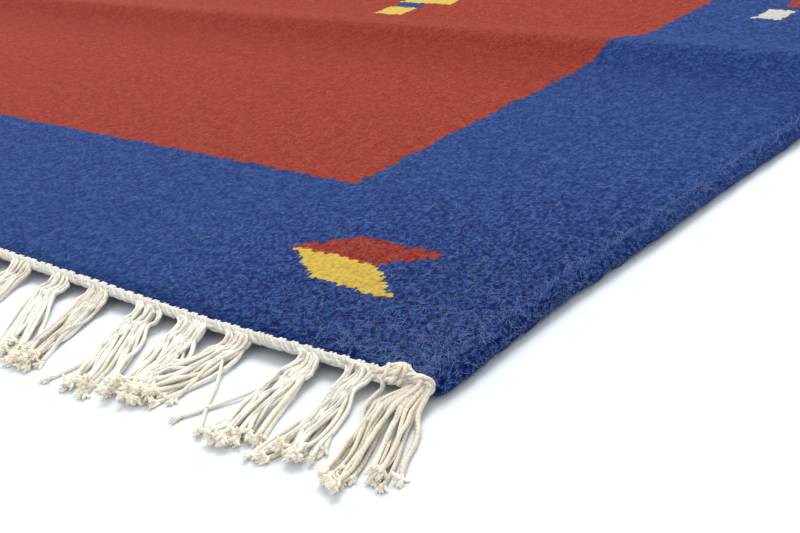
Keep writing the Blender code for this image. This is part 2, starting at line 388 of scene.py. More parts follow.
for vert in bm.verts:
    x, y, z = vert.co
    if abs(y) > WOVEN_LENGTH / 2 - END_ROUNDING:
        middle_height = CLOTH_THICK / 2 + float(lift(x, y))
        vert.co.z = middle_height + (z - middle_height) * END_THINNING[z <= middle_height]
    if abs(x) > sheet_half_width - GROOVE_WIDTH and z > SHEET_THICK / 2:
        vert.co.z -= SELVEDGE_GROOVE
cloth = add_piece("kilim_weave", mesh_from(bm), wool_weave)
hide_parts("kilim_cloth")


# -------------------- the selvedges
# Along both sides the weft turns round a bundle of outer warp ends and comes back, which packs it
# into a thick hairy roll, proud of the cloth. It is one yarn with the cloth, in the border's blue.

ROLL_SIDES = 14
ROLL_RING_STEP = 0.8 * MM
ROLL_LOBES = (
    # share of the roll's radius, length along the roll in mm, both of uneven swellings
    (0.04, 2.6),
    (0.09, 4.4),
    (0.04, 13.0),
)
ROLL_SLANT = 1.6 * MM           # the turns of weft lean this far along the roll as they go over it
ROLL_UNEVENNESS = 1.6           # brings the noise to about its full swing
ROLL_END_SHARE = 0.4            # of its radius, at the roll's very end
SIDES_APART = 7                 # in the noise, so that the two sides differ

wool_wrap, wrap_tree, wrap_shader = new_material("Woven wool, rolled selvedge", WOOL_FINISH)
wrap_uv = add_node(wrap_tree, "UVMap", uv_map="UVMap")
wrap_place = add_node(wrap_tree, "VectorMath",
                      [wrap_uv, (math.pi * SELVEDGE_DIAMETER / MM, WOVEN_LENGTH / MM, 1.0)],
                      operation="MULTIPLY")
wrap_dye = add_node(wrap_tree, "RGB").outputs[0]
wrap_dye.default_value = linear(WOOL_BLUE)
wool_surface(wrap_tree, wrap_shader, wrap_place, weft_floats(wrap_tree, wrap_place)[0], wrap_dye)


def rolled_edge(side):
    """A tube along one side of the rug, uneven with the turns of weft wrapped round it."""
    radius = SELVEDGE_DIAMETER / 2
    rings = round(WOVEN_LENGTH / ROLL_RING_STEP)
    bm = bmesh.new()
    bm.loops.layers.uv.new("UVMap")
    bmesh.ops.create_grid(bm, x_segments=ROLL_SIDES, y_segments=rings, size=0.5, calc_uvs=True)
    for vert in bm.verts:
        turn = (vert.co.x + 0.5) * math.tau
        outwards, upwards = math.cos(turn), math.sin(turn)
        y = vert.co.y * WOVEN_LENGTH
        here = radius
        for share, length in ROLL_LOBES:
            along = (y + ROLL_SLANT * upwards) / (length * MM)
            swelling = noise.noise(Vector((outwards, side * SIDES_APART + upwards, along)))
            here += radius * share * swelling * ROLL_UNEVENNESS
        end_share = min((WOVEN_LENGTH / 2 - abs(y)) / SELVEDGE_DIAMETER, 1)
        here *= math.sqrt(max(1 - (1 - end_share) ** 2, 0)) * (1 - ROLL_END_SHARE) + ROLL_END_SHARE
        x = side * (WIDTH / 2 - radius + float(edge_wander(y)) + here * outwards)
        vert.co = (x, y, max(radius + here * upwards, 0) + float(lift(side * WIDTH / 2, y)))
    bmesh.ops.remove_doubles(bm, verts=bm.verts, dist=0.001 * MM)
    bmesh.ops.holes_fill(bm, edges=[edge for edge in bm.edges if edge.is_boundary])
    bmesh.ops.recalc_face_normals(bm, faces=bm.faces)
    return mesh_from(bm)


selvedges = [
    add_piece("selvedge_right", rolled_edge(1), wool_wrap),
    add_piece("selvedge_left", rolled_edge(-1), wool_wrap),
]


# -------------------- the loose fibres
# Carded wool sheds: fibre ends stand out of the cloth as a short nap, and longer wisps curl off the
# selvedges. They are finest to draw close to the corner that is seen nearest, so most are there.

FIBRE_RADIUS = 0.036 * MM       # drawn twice as thick as wool, to show
ROOT_DEPTH = 0.1 * MM           # of a fibre's root under the face
FIBRE_RISES = (0.1, 0.8)        # how steeply a fibre leaves the face, to one along it
CURLS = 5500
CURLS_REACH = 36 * MM           # from the corner, over which the curls thin out
CURL_LENGTHS = (1.2, 3.8)       # mm
CURL_TURNING = 1.3              # radians, as are the next two
CURL_RISE = 0.9 * MM            # no curl stands higher out of the face
NAP = 5000
NAP_LENGTHS = (0.7, 2.0)        # mm
NAP_TURNING = 0.8
WISPS = 5200
WISPS_NEAR = WISPS * 5 // 9     # of them, close to the corner
WISPS_REACH = 75                # mm, from the corner, over which the wisps thin out
WISP_ROOTS = (math.radians(-60), math.radians(125))     # round the roll, from level outwards
WISP_TURNING = 1.9

# Material: the same dyed wool, in single fibres, which look paler than the yarn, with a painted sheen of
# white light mixed into their colour
LOOSE_FINISH = {"Roughness": 0.8, "Specular IOR Level": 0.1}
LOOSE_PAINTED_SHEEN = "#C9D0F5"
LOOSE_PAINTED_SHEEN_SHARE = 0.16
loose_wool, loose_tree, loose_shader = new_material("Loose wool fibres", LOOSE_FINISH)
loose_spot = add_node(loose_tree, "TexCoord").outputs["Object"]
loose_place = add_node(loose_tree, "VectorMath", {0: loose_spot, "Scale": 1 / MM}, operation="SCALE")
loose_dye = add_node(loose_tree, "Gamma", {"Color": woven_colour(loose_tree, loose_place), "Gamma": 0.5})
# painted sheen: a share of pale lilac-white mixed into the fibres' colour
loose_colour = add_node(loose_tree, "Mix",
                        {0: LOOSE_PAINTED_SHEEN_SHARE, 6: loose_dye, 7: linear(LOOSE_PAINTED_SHEEN)}, data_type="RGBA")
loose_tree.links.new(loose_colour.outputs[2], loose_shader.inputs["Base Color"])


def tube_prototype(sides, rings, tip_radius=1.0):
    """A straight tube or needle of unit radius and length, cut into rings, standing on nought."""
    bm = bmesh.new()
    bmesh.ops.create_cone(bm, cap_ends=True, segments=sides, radius1=1, radius2=tip_radius, depth=1)
    upright = [edge for edge in bm.edges if abs(edge.verts[0].co.z - edge.verts[1].co.z) > 0.5]
    bmesh.ops.subdivide_edges(bm, edges=upright, cuts=rings - 2, use_grid_fill=True)
    top = [vert for vert in bm.verts if vert.co.z > 0.499]
    bmesh.ops.remove_doubles(bm, verts=top, dist=0.05)
    bmesh.ops.translate(bm, verts=bm.verts, vec=(0, 0, 0.5))
    return mesh_from(bm)


def repeated(prototype, count):
    """One mesh of many copies of a prototype, in order."""
    holder = bpy.data.objects.new("holder", prototype)
    bpy.context.scene.collection.objects.link(holder)
    array = holder.modifiers.new("Array", "ARRAY")
    array.count = count
    array.use_relative_offset = False
    graph = bpy.context.evaluated_depsgraph_get()
    mesh = bpy.data.meshes.new_from_object(holder.evaluated_get(graph))
    bpy.data.objects.remove(holder)
    return mesh


def coordinates(mesh):
    flat = np.empty(len(mesh.vertices) * 3, dtype=np.float32)
    mesh.vertices.foreach_get("co", flat)
    return flat.reshape(-1, 3)


def along_routes(prototype, routes, radii):
    """Copies of a tube, one bent along each route, with its radius at each ring."""
    count, rings, _ = routes.shape
    mesh = repeated(prototype, count)
    unit = coordinates(mesh).reshape(count, -1, 3)
    tangents = np.gradient(routes, axis=1)
    tangents /= np.linalg.norm(tangents, axis=2, keepdims=True)
    normals = np.zeros_like(tangents)
    # Any direction does for the first ring, as long as no route starts along it
    normals[:, 0] = np.cross(tangents[:, 0], (0.31, 0.22, 0.93))
    for ring in range(rings):
        before = normals[:, max(ring - 1, 0)]
        flat = before - tangents[:, ring] * np.sum(before * tangents[:, ring], axis=1, keepdims=True)
        normals[:, ring] = flat / np.linalg.norm(flat, axis=1, keepdims=True)
    sideways = np.cross(tangents, normals)
    ring = np.rint(unit[:, :, 2] * (rings - 1)).astype(int)
    which = np.arange(count)[:, None]
    width = radii[which, ring][:, :, None]
    places = routes[which, ring] + width * (
        unit[:, :, :1] * normals[which, ring] + unit[:, :, 1:2] * sideways[which, ring])
    places[:, :, 2] = np.maximum(places[:, :, 2], 0)
    mesh.vertices.foreach_set("co", np.asarray(places, dtype=np.float32).ravel())
    mesh.update()
    return mesh, unit, ring


def fibre_routes(roots, headings, lengths, rings, turning, lowest, chance):
    """Each fibre's way from its root: an arc that turns it by some angle from its heading."""
    part = np.linspace(0, 1, rings)[None, :, None]
    headings = headings / np.linalg.norm(headings, axis=1, keepdims=True)
    aside = np.cross(headings, chance.normal(0, 1, (len(roots), 3)))
    aside /= np.linalg.norm(aside, axis=1, keepdims=True)
    angle = (np.abs(chance.normal(0, turning, len(roots))) + 0.01)[:, None, None]
    radius = lengths[:, None, None] / angle
    routes = roots[:, None] + radius * (np.sin(angle * part) * headings[:, None]
                                        + (1 - np.cos(angle * part)) * aside[:, None])
    routes[:, :, 2] = np.maximum(routes[:, :, 2], lowest)
    return routes


def needles(routes):
    """Single fibres of three sides, each tapered to a point."""
    prototype = tube_prototype(3, routes.shape[1], tip_radius=0.02)
    return along_routes(prototype, routes, np.full(routes.shape[:2], FIBRE_RADIUS))


def on_cloth_face(x, y, chance):
    """Roots and headings of fibres that leave the cloth's face every way."""
    on_face = (np.abs(x) < WIDTH / 2 - SELVEDGE_DIAMETER / 2) & (np.abs(y) < WOVEN_LENGTH / 2 - MM)
    x, y = x[on_face], y[on_face]
    roots = np.stack([x, y, CLOTH_THICK + lift(x, y) - ROOT_DEPTH], axis=1)
    turn = chance.uniform(0, math.tau, len(x))
    return roots, np.stack([np.cos(turn), np.sin(turn), chance.uniform(*FIBRE_RISES, len(x))], axis=1)


def curl_routes(chance):
    """Long curled fibres on the face near the corner."""
    away = chance.gamma(1.8, CURLS_REACH, CURLS)
    bearing = chance.uniform(0, math.pi / 2, CURLS)
    roots, headings = on_cloth_face(
        WIDTH / 2 - away * np.sin(bearing), -WOVEN_LENGTH / 2 + away * np.cos(bearing), chance)
    lengths = chance.uniform(*CURL_LENGTHS, len(roots)) * MM
    routes = fibre_routes(roots, headings, lengths, 5, CURL_TURNING, 0, chance)
    face = roots[:, None, 2]
    routes[:, :, 2] = face + np.clip(routes[:, :, 2] - face, 0, CURL_RISE)
    return routes


def nap_routes(chance):
    """Short fibre ends, standing and leaning every way on the cloth's whole face."""
    x = chance.uniform(-0.5, 0.5, NAP) * WIDTH
    y = chance.uniform(-0.5, 0.5, NAP) * WOVEN_LENGTH
    roots, headings = on_cloth_face(x, y, chance)
    lengths = chance.uniform(*NAP_LENGTHS, len(roots)) * MM
    return fibre_routes(roots, headings, lengths, 3, NAP_TURNING, 0, chance)


def wisp_routes(chance):
    """Longer fibres that curl off both selvedges, most of them near the corner."""
    far = WISPS - WISPS_NEAR
    y = np.concatenate([-WOVEN_LENGTH / 2 + chance.gamma(1.3, WISPS_REACH, WISPS_NEAR) * MM,
                        chance.uniform(-0.5, 0.5, far) * WOVEN_LENGTH])
    side = np.concatenate([np.ones(WISPS_NEAR), chance.choice([-1, 1], far)])
    turn = chance.uniform(*WISP_ROOTS, WISPS)
    radius = SELVEDGE_DIAMETER / 2
    out_of_roll = np.stack([side * np.cos(turn), np.zeros(WISPS), np.sin(turn)], axis=1)
    x = side * (WIDTH / 2 - radius + edge_wander(y))
    centre = np.stack([x, y, radius + lift(side * WIDTH / 2, y)], axis=1)
    headings = 0.45 * out_of_roll + chance.normal(0, 0.6, (WISPS, 3))
    # Those beside the floor are short
    lengths = chance.gamma(4, 0.5, WISPS) * np.where(turn < 0.1, 0.5, 1) * MM
    roots = centre + 0.94 * radius * out_of_roll
    return fibre_routes(roots, headings, lengths, 6, WISP_TURNING, 0.1 * MM, chance)


fibre_chance = np.random.default_rng(3)
loose_fibres = [
    add_piece("wool_curls", needles(curl_routes(fibre_chance))[0], loose_wool),
    add_piece("wool_nap", needles(nap_routes(fibre_chance))[0], loose_wool),
    add_piece("wool_wisps", needles(wisp_routes(fibre_chance))[0], loose_wool),
]


# -------------------- the knotted ends
# At each end the cotton warp ends loop over the last weft in pairs, slant down to the right and run
# on as a cord. They leave it in bunches: each yarn swings out of the cord, drops and fans out.

YARN_RADIUS = 0.46 * MM
YARN_SIDES = 4
YARN_RINGS = 20
YARN_UNEVENNESS = 0.05          # of a yarn's thickness along it, as a normal spread
KNOT_RINGS = 9
KNOTS_FROM_LEFT, KNOTS_FROM_RIGHT = 2.4 * MM, 9.5 * MM      # of the rug's sides
PAIR_PLACES = (-0.5, 0.5)       # mm, of its two yarns from the middle of a pair
KNOT_ROUTE = (
    # of each yarn of the row, in mm: along the row, out from the cloth's edge, height
    (-0.4, -1.0, 2.7),
    (-0.1, -0.35, 3.45),
    (0.2, 0.25, 3.85),
    (1.0, 0.8, 3.6),
    (2.4, 1.5, 3.05),
    (4.2, 1.3, 2.5),
)
KNOT_TOP = 2                    # the place in the route where it goes over the last weft
CORD_OUT = 1.0 * MM             # from the cloth's edge to the middle of the cord
CORD_HEIGHT = 2.9 * MM
CORD_YARNS = 3
CORD_SIDES = 5
CORD_RINGS = 280
CORD_TURN = 12 * MM             # of cord to one turn of its yarns
CORD_OFFSET = 0.35 * MM         # of each yarn from the cord's middle
EDGE_YARNS = ((0.15, 3.4), (0.55, 3.4))     # two more beside it: how far out, and height, in mm
BUNCH_PITCH = 16.2              # mm
UNSEEN_YARNS = 10               # to a bunch that doesn't show in the photograph
# Measured from the right-hand corner of the near end, where the bunches show in the photograph
SEEN_BUNCHES = (
    # for the left and the right yarn: where it leaves the row, and how far out; where it passes
    # 6.3 mm out; then height and swing out of the cord; left and right again: the tip, and how far
    # out; last the number of yarns and how beige they are, which at the corner is partly painted shade
    # the corner bunch: its beige is partly its own colour and partly painted shade, as its near side is out
    # of the light
    (-4.2, -1.2, 0.5, 0.3, -8.6, 0.9, 3.3, 0.0, -2.6, 10.0, 27.0, 22.0, 17, 0.75),
    (-18.6, -13.4, 1.5, 1.8, -18.4, -13.9, 2.8, 0.8, -16.5, -6.5, 27.0, 22.5, 17, 0.15),
    (-30.5, -26.2, 1.9, 2.1, -32.3, -25.2, 2.5, 0.8, -27.5, -19.0, 27.5, 23.0, 17, 0.2),
    (-49.0, -44.6, 2.7, 1.8, -51.0, -44.0, 2.4, 0.6, -56.0, -44.5, 21.5, 23.5, 16, 0.25),
    (-64.5, -56.0, 3.1, 4.2, -64.5, -56.2, 2.3, 1.8, -57.5, -47.5, 25.5, 23.0, 19, 0.05),
    (-79.5, -71.0, 3.8, 4.0, -79.5, -71.3, 2.2, 2.4, -69.0, -57.0, 27.5, 25.5, 18, 0.05),
    (-97.5, -89.5, 2.4, 3.8, -97.5, -89.8, 2.2, 2.4, -88.5, -82.0, 26.5, 26.0, 18, 0.35),
    (-112.0, -106.0, 2.7, 2.2, -112.0, -106.0, 2.2, 2.0, -99.5, -88.0, 25.0, 25.5, 18, 0.1),
)
# Single yarns that lie apart: bunch, tip and how far out
SEEN_STRAYS = ((2, -38.4, 25.8), (2, -30.9, 26.4), (3, -31.0, 27.0), (5, -74.4, 29.0), (5, -68.2, 28.5))
# The yarns that are tied round the last bunch, at the right-hand corner
CLOSING_KNOT = (
    # yarns laid together; their places in mm: x from the corner, out from the cloth's edge, height
    (3, ((-13.5, 0.7, 2.9), (-10.0, 0.5, 3.2), (-7.5, 0.5, 3.3), (-4.5, 0.3, 3.4), (-2.2, 0.3, 3.4))),
    (3, ((-12.5, 1.2, 2.5), (-10.0, 1.3, 2.6), (-7.0, 0.9, 2.6), (-4.5, 0.5, 2.8))),
    (3, ((-8.5, 0.2, 3.2), (-6.2, 0.3, 3.7), (-4.6, 0.2, 3.95), (-3.4, 0.0, 4.1), (-2.2, 0.0, 4.0),
         (-1.4, 0.0, 3.7), (-1.1, 0.1, 3.1), (-1.5, 0.3, 2.4), (-2.8, 0.3, 2.0))),
    (3, ((-13.0, 0.9, 3.0), (-12.0, 0.1, 3.6), (-10.9, -0.5, 3.95), (-9.8, -1.0, 4.2),
         (-8.6, -1.4, 4.35), (-7.0, -0.8, 4.1), (-5.3, -0.1, 3.8))),
    (3, ((-14.5, 1.6, 2.5), (-11.5, 1.7, 2.8), (-9.7, 1.5, 2.9), (-8.3, 1.0, 2.9), (-6.6, 0.6, 3.1),
         (-5.0, 0.3, 3.4))),
    (3, ((-14.0, 0.9, 3.1), (-12.0, 0.9, 3.5), (-9.5, 0.5, 3.7), (-7.5, 0.1, 3.8), (-5.0, 0.1, 3.7))),
    (2, ((-9.3, -2.0, 4.0), (-8.8, -1.5, 4.7), (-8.3, -0.4, 4.75), (-8.3, 0.9, 4.1), (-8.9, 1.7, 3.1),
         (-9.6, 1.3, 2.3))),
    (2, ((-8.2, -1.9, 4.0), (-7.8, -1.2, 4.65), (-7.2, -0.2, 4.6), (-6.9, 0.8, 3.9), (-7.4, 1.4, 3.0),
         (-8.0, 0.9, 2.3))),
    (1, ((-11.9, -1.2, 3.7), (-11.4, -0.5, 4.5), (-10.8, 0.5, 4.3), (-10.6, 1.6, 3.7), (-11.2, 2.0, 2.9),
         (-11.9, 1.5, 2.4))),
    (1, ((-12.9, 1.6, 3.1), (-11.4, 2.2, 3.1), (-10.5, 2.6, 2.6), (-10.2, 3.2, 1.8), (-10.6, 4.4, 1.2),
         (-10.6, 6.7, 0.7), (-9.9, 8.7, 0.5), (-8.3, 10.7, 0.45), (-5.0, 14.4, 0.45))),
)
CLOSING_SIDES = 7
CLOSING_RINGS = 28
LAID_OFFSETS = (0, 0.3, 0.42)   # mm, from the middle of one, two or three yarns laid together
LAID_TURN = 11 * MM             # of them to one turn round each other
# How far the yarns of a bunch stray from an even fan: normal spreads, in mm where they are lengths
EXIT_STRAY, EXIT_OUT_STRAY = 0.45, 0.4
TIP_STRAY, TIP_OUT_STRAY = 0.5, 1.4
PASS_STRAY = 0.2
SWAY, DOUBLE_SWAY = 0.9, 0.35   # one bend or two on the floor
CROSSING = 0.17                 # share of the bunch's width by which the tips change places
TONE_STRAY = 0.14
TIED_STRAY = 0.3                # of all this, in the bunch at the corner, which is tied round
PASS_OUT = 6.3 * MM             # where the seen bunches' width was measured a second time
# The swing out of the cord: how much of its lead is still to come, and how far out it has got
SWING_OUT = ((1.0, 0.0), (0.66, 0.14), (0.33, 0.46), (0.08, 0.8))
HIGHEST_PILE = 4.5 * YARN_RADIUS            # to a yarn's middle, where yarns cross on the floor
YARN_OVER = 0.65 * MM           # of every other yarn over its neighbours
# What comes untwisted at the tips: locks, and single hairs round them. Only the yarns that are seen
# nearest are frayed finely
FINE_YARNS = 140
LOCKS, FEW_LOCKS = 12, 3        # to a yarn
LOCK_SIDES = 4
LOCK_LENGTHS = (1.3, 3.0)       # mm
LOCK_SPREAD = 0.12
LOCK_RADII = (0.28, 0.33, 0.36, 0.33, 0.16)     # mm, from root to end
LOCK_LOWEST = 0.3 * MM
HAIRS, FEW_HAIRS = 20, 3
HAIR_SIDES = 3
HAIR_LENGTHS = (1.8, 3.2)       # mm
HAIR_SPREAD = 0.2
HAIR_RADII = (2.0, 1.7, 0.6)    # in radii of a wool fibre, from root to end
FRAYED_LENGTH = 0.7 * MM        # of the yarn itself
FRAY_TURNING = 0.9

# Material: unbleached cotton, plied in twos and matt. The twist shows as faint slanting shade, and
# each yarn is a little whiter or more beige than the next.
COTTON_FINISH = {
    "Roughness": 0.9, "Specular IOR Level": 0.05, "Sheen Weight": 0.03,
    "Subsurface Weight": 0.6, "Subsurface Radius": (1.0, 1.0, 0.95), "Subsurface Scale": 0.6 * MM,
}
YARN_TWIST = 2.1                # mm of yarn to one turn of its two plies
LINT_PER_METRE = 2200.0         # clumps of 0.45 mm
SOILING_PER_METRE = 260.0       # patches of 4 mm
COTTON_RELIEF = 0.25 * MM       # of the plies and lint
GROOVE_SHADE, GROOVE_SHADE_BY_TONE = -0.05, -0.22    # painted shade between the plies, and the more of it that a beige tone adds


def cotton_yarn(name, cream, beige):
    material, tree, shader = new_material(name, COTTON_FINISH)
    lay = add_node(tree, "Attribute", attribute_name="lay").outputs["Vector"]
    parts = add_node(tree, "SeparateXYZ", [lay])
    angle = add_node(tree, "Math", [parts.outputs[1], parts.outputs[0]], operation="ARCTAN2")
    phase = add_node(tree, "Math", [parts.outputs[2], math.tau / YARN_TWIST, angle],
                     operation="MULTIPLY_ADD")
    wave = add_node(tree, "Math", [phase], operation="COSINE")
    plies = add_node(tree, "Math", [wave], operation="ABSOLUTE")
    spot = add_node(tree, "TexCoord").outputs["Object"]
    lint = add_node(tree, "TexNoise", {"Vector": spot, "Scale": LINT_PER_METRE, "Detail": 3.0})
    height = add_node(tree, "Mix", {0: 0.75, 2: plies, 3: lint.outputs["Fac"]})
    tone = add_node(tree, "Attribute", attribute_name="tone").outputs["Fac"]
    soiling = add_node(tree, "TexNoise", {"Vector": spot, "Scale": SOILING_PER_METRE, "Detail": 2.0})
    share = add_node(tree, "Math", [soiling.outputs["Fac"], 0.9, tone], operation="MULTIPLY_ADD")
    level = add_node(tree, "MapRange", {"Value": share, "From Min": 0.25, "From Max": 1.25})
    colour = add_node(tree, "Mix", {0: level, 6: linear(cream), 7: linear(beige)}, data_type="RGBA")
    # painted shade in the grooves between the plies, deeper the more beige the yarn
    depth = add_node(tree, "Math", [tone, GROOVE_SHADE_BY_TONE, GROOVE_SHADE], operation="MULTIPLY_ADD")
    shade = add_node(tree, "Math", [ramp(tree, height, 0.25, 0.7, 1.0, 0.0), depth, 1.0],
                     operation="MULTIPLY_ADD", use_clamp=True)
    shaded = add_node(tree, "VectorMath", {0: colour.outputs[2], "Scale": shade}, operation="SCALE")
    bump = add_node(tree, "Bump", {"Strength": 0.8, "Distance": COTTON_RELIEF, "Height": height})
    tree.links.new(shaded.outputs[0], shader.inputs["Base Color"])
    tree.links.new(bump.outputs[0], shader.inputs["Normal"])
    return material


cotton = cotton_yarn("Undyed cotton yarn, plied", "#F2EEE2", "#DDD3C0")
row_cotton = cotton_yarn("Undyed cotton yarn, packed and dusty", "#D9D8D0", "#C6C1B4")

# Material: the same cotton where it has come untwisted, fluffy and full of light
FRAYED_FINISH = {
    "Roughness": 0.9, "Specular IOR Level": 0.0,
    "Subsurface Weight": 0.3, "Subsurface Radius": (1.0, 0.93, 0.8), "Subsurface Scale": 0.15 * MM,
}
FLUFF_PER_METRE = 1500.0        # tufts of 0.7 mm
FLUFF_LIGHT, FLUFF_DARK = "#FBF5E8", "#F3E9D6"
frayed_cotton, frayed_tree, frayed_shader = new_material("Frayed cotton ends", FRAYED_FINISH)
frayed_spot = add_node(frayed_tree, "TexCoord").outputs["Object"]
fluff = add_node(frayed_tree, "TexNoise", {"Vector": frayed_spot, "Scale": FLUFF_PER_METRE, "Detail": 3.0})
frayed_colour = add_node(frayed_tree, "Mix",
                         {0: fluff.outputs["Fac"], 6: linear(FLUFF_LIGHT), 7: linear(FLUFF_DARK)},
                         data_type="RGBA")
fluff_bump = add_node(frayed_tree, "Bump",
                      {"Strength": 0.4, "Distance": 0.2 * MM, "Height": fluff.outputs["Fac"]})
frayed_tree.links.new(frayed_colour.outputs[2], frayed_shader.inputs["Base Color"])
frayed_tree.links.new(fluff_bump.outputs[0], frayed_shader.inputs["Normal"])


def smooth_routes(stops, rings):
    """Each row of stops as a smooth curve through them, read at even steps of its length."""
    before, after = 2 * stops[:, :1] - stops[:, 1:2], 2 * stops[:, -1:] - stops[:, -2:-1]
    padded = np.concatenate([before, stops, after], axis=1)
    spans = stops.shape[1] - 1
    fine = np.linspace(0, spans, 12 * spans + 1)
    span = np.minimum(fine.astype(int), spans - 1)
    t = (fine - span)[None, :, None]
    p0, p1, p2, p3 = (padded[:, span + k] for k in range(4))
    curve = 0.5 * (2 * p1 + (p2 - p0) * t + (2 * p0 - 5 * p1 + 4 * p2 - p3) * t ** 2
                   + (3 * p1 - p0 - 3 * p2 + p3) * t ** 3)
    steps = np.linalg.norm(np.diff(curve, axis=1), axis=2)
    run = np.concatenate([np.zeros((len(curve), 1)), np.cumsum(steps, axis=1)], axis=1)
    even = []
    for row, lengths in zip(curve, run):
        wanted = np.linspace(0, lengths[-1], rings)
        even.append(np.stack([np.interp(wanted, lengths, row[:, axis]) for axis in range(3)], axis=1))
    return np.array(even), run[:, -1]


def mark_yarns(mesh, unit, ring, rings, lengths, tones):
    """Note on each point where it lies round and along its yarn, and the yarn's tone."""
    # The tone also sets where the twist starts, so that yarns side by side don't match
    along = ring / (rings - 1) * lengths[:, None] / MM + 50 * tones[:, None]
    lay_values = np.stack([unit[:, :, 0], unit[:, :, 1], along], axis=2).astype(np.float32)
    mesh.attributes.new("lay", "FLOAT_VECTOR", "POINT").data.foreach_set("vector", lay_values.ravel())
    tone_values = np.repeat(tones, unit.shape[1]).astype(np.float32)
    mesh.attributes.new("tone", "FLOAT", "POINT").data.foreach_set("value", tone_values)


def at_end(places, end):
    """Places given as x, distance out from the cloth's edge and height, at one end of the rug."""
    turned = np.array(places, dtype=float)
    turned[..., 1] = -WOVEN_LENGTH / 2 - end_bow(turned[..., 0]) - turned[..., 1]
    if end == "back":
        turned[..., :2] *= -1
    return turned


def bunches_of(end, chance):
    """Every bunch of one end, from the right, as rows like those seen, with x from the middle."""
    rows = [list(row) for row in SEEN_BUNCHES] if end == "front" else [list(SEEN_BUNCHES[0])]
    while rows[-1][1] > -WIDTH / MM + 26:
        right = rows[-1][1] - BUNCH_PITCH * chance.uniform(0.86, 1.12)
        left = right - chance.uniform(5, 8.5)
        out = chance.uniform(2.0, 3.6)
        tip_left = left + chance.uniform(3, 12)
        tip_out = chance.uniform(24, 27)
        rows.append([left, right, out, out + chance.uniform(-0.5, 0.8), left, right,
                     2.3, chance.uniform(0.8, 2.4), tip_left, tip_left + chance.uniform(8, 12),
                     tip_out, tip_out - chance.uniform(0, 4), UNSEEN_YARNS, chance.uniform(-0.1, 0.4)])
    rows = np.array(rows)
    rows[:, :12] *= MM
    rows[:, (0, 1, 4, 5, 8, 9)] += WIDTH / 2
    return rows


def knot_stops(chance):
    """Two yarns of each pair of warp ends: out of the wool, over the last weft and down to the cord."""
    across = np.arange(-WIDTH / 2 + KNOTS_FROM_LEFT, WIDTH / 2 - KNOTS_FROM_RIGHT, WARP_PITCH)
    across = across + chance.normal(0, 0.25, len(across)) * MM
    stops = []
    for middle in across:
        high = chance.normal(0, 0.12) * MM
        for aside in PAIR_PLACES:
            x = middle + aside * MM
            way = [[x + along * MM, out * MM, height * MM] for along, out, height in KNOT_ROUTE]
            way[KNOT_TOP][2] += high
            stops.append(way)
    return np.array(stops)


def bunch_stops(end, bunches, chance):
    """Stops of every yarn that leaves the cord: round the swing out of it, down and over the floor."""
    stops, tones = [], []
    for place, bunch in enumerate(bunches):
        exits, outs, passes, (height, swing), tips, reaches, (yarns, beige) = bunch.reshape(7, 2)
        yarns = round(yarns)
        strays = [stray for stray in SEEN_STRAYS if stray[0] == place and end == "front"]
        order = chance.permutation(yarns)
        loose = TIED_STRAY if swing == 0 else 1.0
        for number in range(yarns):
            share = (number + 0.5) / yarns
            tip_share = min(max(share + loose * chance.normal(0, CROSSING), 0), 1)
            exit_x = np.interp(share, (0, 1), exits) + loose * chance.normal(0, EXIT_STRAY) * MM
            exit_out = np.interp(share, (0, 1), outs) + loose * chance.normal(0, EXIT_OUT_STRAY) * MM
            tip_x = np.interp(tip_share, (0, 1), tips) + chance.normal(0, TIP_STRAY) * MM
            tip_out = np.interp(tip_share, (0, 1), reaches) + chance.normal(0, TIP_OUT_STRAY) * MM
            if order[number] < len(strays):
                _, stray_x, stray_out = strays[order[number]]
                tip_x = WIDTH / 2 + stray_x * MM
                tip_out = stray_out * MM
            # Every other yarn lies over its neighbours
            over = YARN_OVER * (order[number] % 2) + loose * chance.uniform(0, 0.4) * MM
            lead = (2.6 + 0.5 * swing / MM) * (1 + loose * chance.uniform(-0.3, 0.4)) * MM
            beyond = exit_out - CORD_OUT
            pass_x = np.interp(share, (0, 1), passes) + chance.normal(0, PASS_STRAY) * MM
            landing = (exit_x + 0.25 * (pass_x - exit_x), exit_out + 1.3 * MM + 0.3 * swing,
                       height - 0.6 * MM + 0.5 * over)
            spread = (pass_x, PASS_OUT, 1.2 * MM + over)
            way = [(exit_x - (1.5 - 0.75 * (swing == 0)) * lead, CORD_OUT - 0.1 * MM, CORD_HEIGHT)]
            for before, share_out in SWING_OUT:
                way.append((exit_x - before * lead, CORD_OUT + share_out * beyond,
                            CORD_HEIGHT + (1 - before) * (height + over - CORD_HEIGHT) + 0.25 * MM))
            way += [(exit_x, exit_out, height + over), landing, spread]
            aside = loose * chance.normal(0, SWAY) * MM
            again = chance.normal(0, DOUBLE_SWAY) * MM
            for part in (0.2, 0.4, 0.6, 0.8, 1.0):
                sway = aside * math.sin(math.pi * part) + again * math.sin(math.tau * part)
                way.append((spread[0] + part * (tip_x - spread[0]) + sway,
                            spread[1] + part * (tip_out - spread[1]),
                            YARN_RADIUS + (spread[2] - YARN_RADIUS) * (1 - part) ** 2))
            stops.append(way)
            tones.append(beige + chance.normal(0, TONE_STRAY))
    stops = np.array(stops)
    settle(stops, chance)
    return stops, np.array(tones)


def settle(stops, chance):
    """Lay the yarns down in turn: where one crosses others on the floor it rests on top of them."""
    laid = []
    for number in chance.permutation(len(stops)):
        for stop in range(7, stops.shape[1]):
            beside = np.abs(stops[laid, stop, 0] - stops[number, stop, 0]) / (2 * YARN_RADIUS)
            near = beside < 0.9
            if near.any():
                on_top = stops[laid, stop, 2][near] + 1.7 * YARN_RADIUS * np.sqrt(1 - beside[near] ** 2)
                stops[number, stop, 2] = max(min(on_top.max(), HIGHEST_PILE), stops[number, stop, 2])
        laid.append(number)


